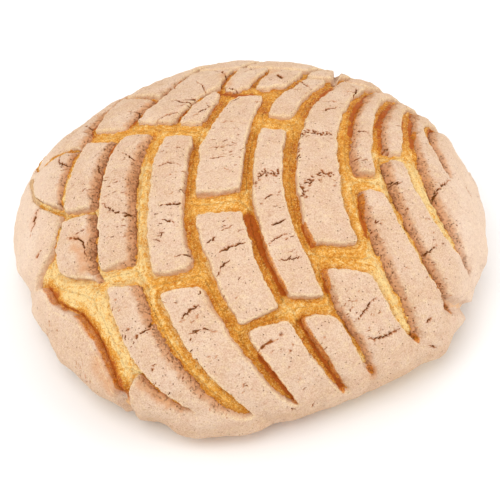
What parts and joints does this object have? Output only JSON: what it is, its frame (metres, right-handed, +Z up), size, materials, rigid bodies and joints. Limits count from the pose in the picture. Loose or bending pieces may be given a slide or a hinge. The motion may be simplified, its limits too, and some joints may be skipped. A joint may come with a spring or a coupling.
{
  "type": "concha sweet bread",
  "caption": "Round sweet bun with a flat foot, topped with a pale sugar paste that curved grooves and short gaps cut into a shell pattern of raised ribs and tiles.",
  "frame": {"origin": "centre of the bounding box in plan, on the floor under the flat foot", "axes": "+Z up; +X to the right and +Y away from the viewer of the picture, the shell pattern's long grooves running from front (-Y) to back"},
  "size_m": [0.1251, 0.1258, 0.0455],
  "materials": {
    "bread": "matte golden crumb crust, fine fibrous grain",
    "paste": "matte, dry, sandy sugar paste with fine pores and cracks"
  },
  "bodies": {
    "root": {"bun": "bread", "paste_rim": "paste", "tile_01": "paste", "tile_02": "paste", "tile_03": "paste", "tile_04": "paste", "tile_05": "paste", "tile_06": "paste", "tile_07": "paste", "tile_08": "paste", "tile_09": "paste", "tile_10": "paste", "tile_11": "paste", "tile_12": "paste", "tile_13": "paste", "tile_14": "paste", "tile_15": "paste", "tile_16": "paste", "tile_17": "paste", "tile_18": "paste", "tile_19": "paste", "tile_20": "paste", "tile_21": "paste", "tile_22": "paste", "tile_23": "paste", "tile_24": "paste"}
  },
  "joints": []
}
